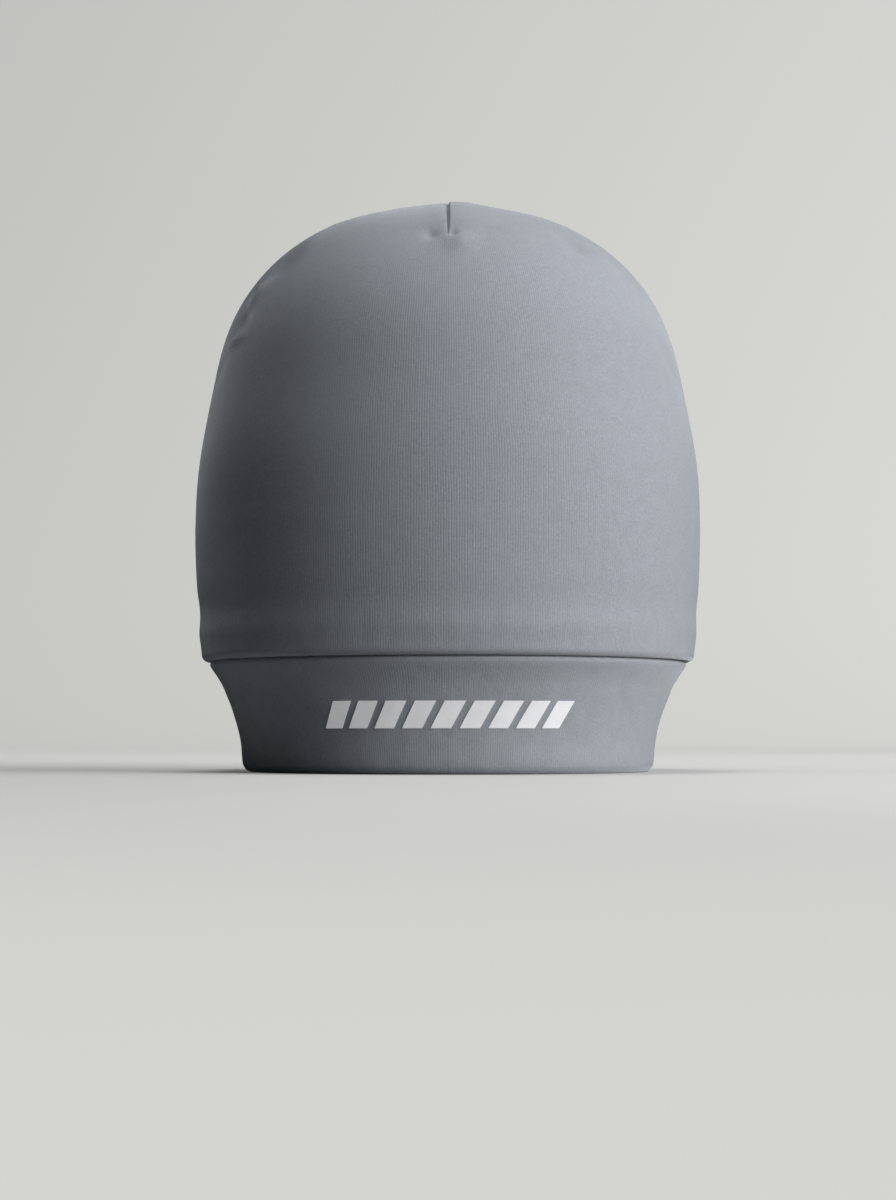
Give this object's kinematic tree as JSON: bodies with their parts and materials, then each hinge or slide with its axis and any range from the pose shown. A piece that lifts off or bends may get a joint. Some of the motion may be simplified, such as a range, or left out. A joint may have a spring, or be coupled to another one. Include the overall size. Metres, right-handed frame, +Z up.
{
  "type": "skull cap",
  "caption": "Close-fitting knit skull cap: a domed crown closed at the top by crossed darts, sewn to a folded band that draws in to the hem",
  "frame": {"origin": "on the plane of the hem, under the middle of the crown's widest ring", "axes": "+Z up out of the top of the cap; -Y is the front, over the forehead; +X is the right side of a viewer who faces the front; +X across the head, Y along it"},
  "size_m": [0.17, 0.1948, 0.1882],
  "materials": {
    "crown_knit": "fine vertical knit wales, soft brushed sheen",
    "band_knit": "fine double-layer knit, smooth"
  },
  "bodies": {
    "root": {"crown": "crown_knit", "band": "band_knit"}
  },
  "joints": []
}
